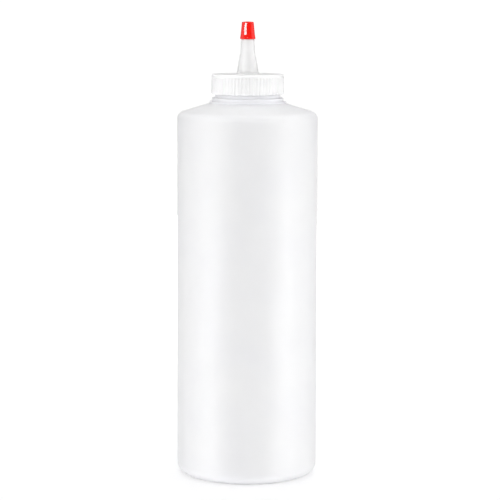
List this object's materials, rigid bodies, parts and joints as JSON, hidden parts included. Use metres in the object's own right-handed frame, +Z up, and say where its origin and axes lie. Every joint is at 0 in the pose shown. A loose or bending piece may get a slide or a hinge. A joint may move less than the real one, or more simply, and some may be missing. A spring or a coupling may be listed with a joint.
{
  "type": "condiment squeeze bottle",
  "caption": "Tall round squeeze bottle with a threaded neck, a fluted screw closure with a tapered hollow spout, and a small pull-off tip cap.",
  "frame": {"origin": "centre of the plane that the bottle stands on", "axes": "+Z up along the axis of the bottle and spout; the front faces -Y, and the seam under the floor runs along X"},
  "size_m": [0.08, 0.08, 0.2586],
  "materials": {
    "bottle_plastic": "satin",
    "seal_foam": "matte",
    "closure_plastic": "satin",
    "tip_plastic": "gloss"
  },
  "bodies": {
    "bottle": {"bottle": "bottle_plastic"},
    "seal_ring": {"seal_ring": "seal_foam"},
    "spout_cap": {"spout_cap": "closure_plastic"},
    "tip_cap": {"tip_cap": "tip_plastic"}
  },
  "joints": [
    {"name": "closure_rise", "type": "slide", "parent": "bottle", "child": "seal_ring", "axis": [0, 0, 1], "range_m": [0, 0.00424]},
    {"name": "closure_turn", "type": "hinge", "parent": "seal_ring", "child": "spout_cap", "pos_m": [0, 0, 0.2235], "axis": [0, 0, 1], "range_deg": [0, 360]},
    {"name": "tip_pull", "type": "slide", "parent": "spout_cap", "child": "tip_cap", "axis": [0, 0, 1], "range_m": [0, 0.012]}
  ],
  "couplings": [
    {"joint": "closure_rise", "follows": "closure_turn", "m_per_rad": 0.0006737}
  ]
}
